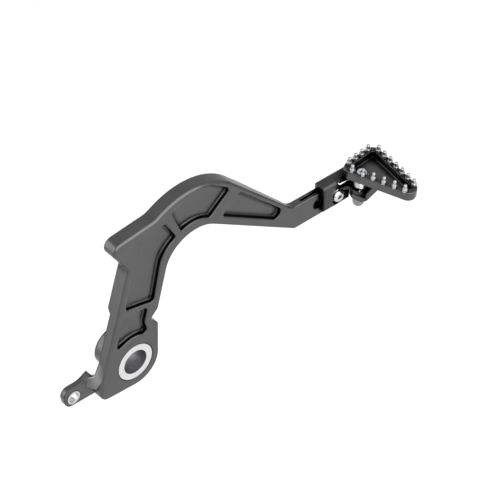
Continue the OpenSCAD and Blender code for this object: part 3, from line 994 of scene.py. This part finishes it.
@dataclass
class HingeSpring:
    """The wound torsion spring on the hinge sleeve, with one leg hooked into the bracket."""

    shop: Workshop
    hinge: HingeFrame
    mean_radius: float = 4.7
    wire_radius: float = 0.5
    wire_sides: int = 5
    low: float = 0.6
    high: float = 6.45
    turns: float = 4.5
    turn_steps: int = 36
    leg_end: float = -15.8
    leg_bend: float = 4.0
    short_leg: float = -5.0
    hook: float = 4.0
    bend: float = 0.9
    bend_steps: int = 6

    def path(self) -> list[Vector]:
        """Follows the wire from the short leg to the hook.

        Returns:
            The wire's points in hinge millimetres.
        """
        r, steps = self.mean_radius, int(self.turns * self.turn_steps)
        points = [Vector((self.short_leg, -r, self.low)), Vector((self.short_leg / 2, -r, self.low))]
        for i in range(steps + 1):
            a = math.radians(-90) + 2 * math.pi * self.turns * i / steps
            height = self.low + (self.high - self.low) * i / steps
            points.append(Vector((r * math.cos(a), r * math.sin(a), height)))
        lean = math.radians(self.hinge.lean)
        inward = Vector((0, math.cos(lean), -math.sin(lean)))
        corner = Vector((self.leg_end, r, self.high))
        points.append(corner + Vector((self.bend + self.leg_bend, 0, 0)))
        for i in range(self.bend_steps + 1):
            a = math.pi / 2 * i / self.bend_steps
            points.append(corner + Vector((self.bend * (1 - math.sin(a)), 0, 0))
                          + inward * self.bend * (1 - math.cos(a)))
        points.append(corner + inward * self.hook)
        return points

    def build(self) -> None:
        """Builds the spring and lets it stand for its plain CAD solid."""
        wire = bpy.data.curves.new("wound_spring", "CURVE")
        wire.dimensions = "3D"
        wire.bevel_depth, wire.bevel_resolution = self.wire_radius * MM, self.wire_sides
        wire.use_fill_caps = True
        points, matrix = self.path(), self.hinge.matrix()
        spline = wire.splines.new("POLY")
        spline.points.add(len(points) - 1)
        for point, place in zip(spline.points, points):
            point.co = (*(matrix @ place), 1.0)
        spline.use_smooth = True
        self.shop.add("wound_spring", wire, Body.PEDAL, Slot.STEEL, self.shop.finishes.wire,
                      "hinge_spring")


@dataclass
class StudRow:
    """One straight row of studs on the pad's rim, in the hinge's own axes."""

    first: Span
    last: Span
    count: int
    turn: float = 20.0

    def places(self) -> list[tuple[float, float, float]]:
        """Gives each stud's place.

        Returns:
            The two places across the hinge and the turn in degrees of each stud.
        """
        shares = [i / (self.count - 1) for i in range(self.count)]
        return [(self.first[0] + (self.last[0] - self.first[0]) * share,
                 self.first[1] + (self.last[1] - self.first[1]) * share, self.turn * i)
                for i, share in enumerate(shares)]


@dataclass
class ToePad:
    """The folding pad with its studs and the parts that clamp it to the hinge.

    Heights are in millimetres along the hinge. A stud's are measured from the rim.
    """

    shop: Workshop
    hinge: HingeFrame
    turner: Turner
    rim: float = 16.2
    seat: float = 11.4
    fork_bottom: float = -9.6
    bolt_end: float = -16.0
    bolt_point: float = 0.5
    shank: float = 2.45
    head: float = 4.6
    head_height: float = 2.75
    head_top: float = 2.5
    key: float = 1.73
    key_depth: float = 1.5
    nut_corner: float = 4.9
    nut_height: float = 6.4
    nut_play: float = 0.1
    nut_bevel: float = 0.3
    nut_cap: float = 0.92
    nut_floor: float = 0.4
    dome: float = 4.2
    dome_drop: float = 0.6
    dome_collar: float = 0.1
    dome_turns: range = range(6, 91, 6)
    stud_corner: float = 2.15
    stud_cap: float = 1.95
    stud_hexagon: tuple[float, ...] = (-0.3, 2.15, 2.5)
    stud_pin: tuple[Span, ...] = ((2.6, 1.85), (3.1, 1.52), (3.4, 1.4), (5.4, 1.32), (5.9, 1.18),
                                  (6.25, 0.85), (6.4, 0.45))
    stud_steps: int = 36
    rows: tuple[StudRow, ...] = (StudRow((-6.6, 3.0), (11.6, -33.0), 6),
                                 StudRow((20.1, 6.4), (20.1, -32.6), 7),
                                 StudRow((-4.0, 9.5), (14.4, 11.1), 4))

    def studs(self) -> bpy.types.Mesh:
        """Builds the studs: a chamfered hexagon, a short cone and a round-nosed pin.

        Returns:
            The mesh.
        """
        foot, shoulder, crown = self.stud_hexagon
        profile = [(foot, six_sided(self.stud_corner)), (shoulder, six_sided(self.stud_corner)),
                   (crown, six_sided(self.stud_corner, self.stud_cap))]
        profile += [(height, rounded(radius)) for height, radius in self.stud_pin]
        places = [self.hinge.matrix() @ Matrix.Translation((u, v, self.rim))
                  @ Matrix.Rotation(math.radians(turn), 4, "Z")
                  for row in self.rows for u, v, turn in row.places()]
        return Turner(self.stud_steps).mesh("grip_studs", profile, places)

    def bolt(self) -> bpy.types.Mesh:
        """Builds the hinge bolt with its socket button head.

        Returns:
            The mesh.
        """
        end, point = self.bolt_end, self.bolt_point
        rings = [(end, rounded(self.shank - point)), (end + point, rounded(self.shank)),
                 (self.seat, rounded(self.shank))]
        rings += self.turner.button_head(self.seat, self.head, self.head_height, self.head_top,
                                         self.key, self.key_depth)
        return self.turner.mesh("button_bolt", rings, [self.hinge.matrix()])

    def nut(self) -> bpy.types.Mesh:
        """Builds the cap nut, with its dome down.

        Returns:
            The mesh.
        """
        high, bore = self.fork_bottom, self.shank + self.nut_play
        low = high - self.nut_height
        centre, turns = low - self.dome_drop, [math.radians(turn) for turn in self.dome_turns]
        rings = [(centre - self.dome * math.cos(turn), rounded(self.dome * math.sin(turn)))
                 for turn in turns]
        rings += [(low - self.dome_collar, rounded(self.dome)), (low, rounded(self.dome + self.dome_collar))]
        rings += self.turner.nut_body(low, high, self.nut_corner, bore, self.nut_bevel, self.nut_cap)
        rings.append((low - self.nut_floor, rounded(bore)))
        return self.turner.mesh("cap_nut", rings, [self.hinge.matrix()])

    def build(self) -> None:
        """Dresses the pad and builds its fasteners and studs."""
        finishes = self.shop.finishes
        self.shop.dress("toe_pad", finishes.pad)
        self.shop.dress("hinge_washer", finishes.nylon)
        for node in ("bolt_washer", "hinge_sleeve"):
            self.shop.dress(node, finishes.steel)
        for name, mesh, material, node in (("grip_studs", self.studs(), finishes.stud, "pad_studs"),
                                           ("button_bolt", self.bolt(), finishes.plated, "hinge_bolt"),
                                           ("cap_nut", self.nut(), finishes.nut, "hinge_nut")):
            self.shop.smoother.apply(
                self.shop.add(name, mesh, Body.TOE, Slot.STEEL, material, node))


@dataclass(frozen=True)
class Lamp:
    """One square soft light that faces the object.

    It stands at an azimuth and an elevation in degrees and a distance in metres. Its size is the
    length of its side in metres, and its radiance says how bright its face is, where 1 is white.
    """

    name: str
    azimuth: float
    elevation: float
    distance: float
    size: float
    radiance: float


@dataclass
class Studio:
    """The pale floor, the soft light and the camera."""

    aim: tuple[float, float, float] = (0.096, -0.0101, 0.057)
    azimuth: float = -39.8
    elevation: float = 43.3
    lens: float = 1000.0
    sensor: float = 36.0
    clip: Span = (0.5, 60.0)
    width: float = 0.350
    sky: float = 0.4
    floor_height: float = -0.42
    floor_half: float = 12.0
    floor_tone: float = 0.62
    floor_lift: float = 0.4
    lamps: tuple[Lamp, ...] = (Lamp("key", 0.0, 34.0, 1.3, 2.4, 2.9),
                               Lamp("left", -110.0, 14.0, 1.3, 1.5, 2.1))

    def toward(self, azimuth: float, elevation: float) -> Vector:
        """Returns the direction to a place round the object, with azimuth 0 on the outboard side."""
        a, e = math.radians(azimuth), math.radians(elevation)
        return Vector((math.sin(a) * math.cos(e), -math.cos(a) * math.cos(e), math.sin(e)))

    def stand(self, name: str, data: bpy.types.Camera | bpy.types.AreaLight, azimuth: float,
              elevation: float, distance: float) -> bpy.types.Object:
        """Stands a camera or a lamp round the object, so that it faces the aim.

        Args:
            name: The new object's name.
            data: The camera or the light.
            azimuth: Its place round the object, in degrees.
            elevation: Its height above the horizon, in degrees.
            distance: Its distance in metres.

        Returns:
            The new object.
        """
        thing = bpy.data.objects.new(name, data)
        bpy.context.scene.collection.objects.link(thing)
        back = self.toward(azimuth, elevation)
        thing.location = Vector(self.aim) + back * distance
        thing.rotation_euler = (-back).to_track_quat("-Z", "Y").to_euler()
        return thing

    def camera(self) -> None:
        """Sets the camera at the photograph's angle."""
        data = bpy.data.cameras.new("camera")
        data.lens, data.sensor_width = self.lens, self.sensor
        data.clip_start, data.clip_end = self.clip
        distance = self.width * self.lens / self.sensor
        bpy.context.scene.camera = self.stand("camera", data, self.azimuth, self.elevation, distance)

    def light(self, lamp: Lamp) -> None:
        """Adds one lamp.

        Args:
            lamp: The lamp.
        """
        data = bpy.data.lights.new(lamp.name, "AREA")
        data.size, data.energy = lamp.size, lamp.radiance * math.pi * lamp.size * lamp.size
        self.stand(lamp.name, data, lamp.azimuth, lamp.elevation, lamp.distance)

    def world(self) -> None:
        """Sets a plain even sky that looks white and lights the object less."""
        world = bpy.data.worlds.new("studio")
        bpy.context.scene.world = world
        b = Bench(world)
        sky = b.add("ShaderNodeBackground", {"Color": (1.0, 1.0, 1.0, 1.0)})
        b.join(b.span(b.seen(), 0.0, 1.0, self.sky, 1.0), sky.inputs["Strength"])
        b.finish(sky)

    def floor(self) -> None:
        """Lays the pale floor, which is clear from below and white to the camera."""
        b = Bench(bpy.data.materials.new("pale_floor"))
        matt = b.add("ShaderNodeBsdfDiffuse", {"Color": (*(self.floor_tone,) * 3, 1.0)})
        glow = b.add("ShaderNodeEmission")
        b.join(b.span(b.seen(), 0.0, 1.0, 0.0, self.floor_lift), glow.inputs["Strength"])
        above, below = b.add("ShaderNodeAddShader"), b.add("ShaderNodeBsdfTransparent")
        b.join(matt.outputs[0], above.inputs[0])
        b.join(glow.outputs[0], above.inputs[1])
        both = b.add("ShaderNodeMixShader")
        b.join(b.add("ShaderNodeNewGeometry").outputs["Backfacing"], both.inputs[0])
        b.join(above.outputs[0], both.inputs[1])
        b.join(below.outputs[0], both.inputs[2])
        mesh, half = bpy.data.meshes.new("floor"), self.floor_half
        corners = [(-half, -half, 0), (half, -half, 0), (half, half, 0), (-half, half, 0)]
        mesh.from_pydata(corners, [], [(0, 1, 2, 3)])
        mesh.materials.append(b.finish(both))
        floor = bpy.data.objects.new("floor", mesh)
        floor.location.z = self.floor_height
        bpy.context.scene.collection.objects.link(floor)

    def build(self) -> None:
        """Builds the studio."""
        bpy.context.scene.view_settings.view_transform = "Standard"
        self.camera()
        self.world()
        self.floor()
        for lamp in self.lamps:
            self.light(lamp)
        LOG.info("lit the studio")


def main() -> None:
    """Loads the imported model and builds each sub-assembly on it."""
    logging.basicConfig(level=logging.INFO, format="%(message)s")
    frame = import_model()
    shop = Workshop(frame["nodes"], Finishes(), Smoother())
    hinge = HingeFrame()
    PedalArm(shop).build()
    RootBlend(shop).build()
    turner = Turner()
    ToeBracket(shop, turner).build()
    HingeSpring(shop, hinge).build()
    ToePad(shop, hinge, turner).build()
    Studio().build()


if __name__ == "__main__":
    main()
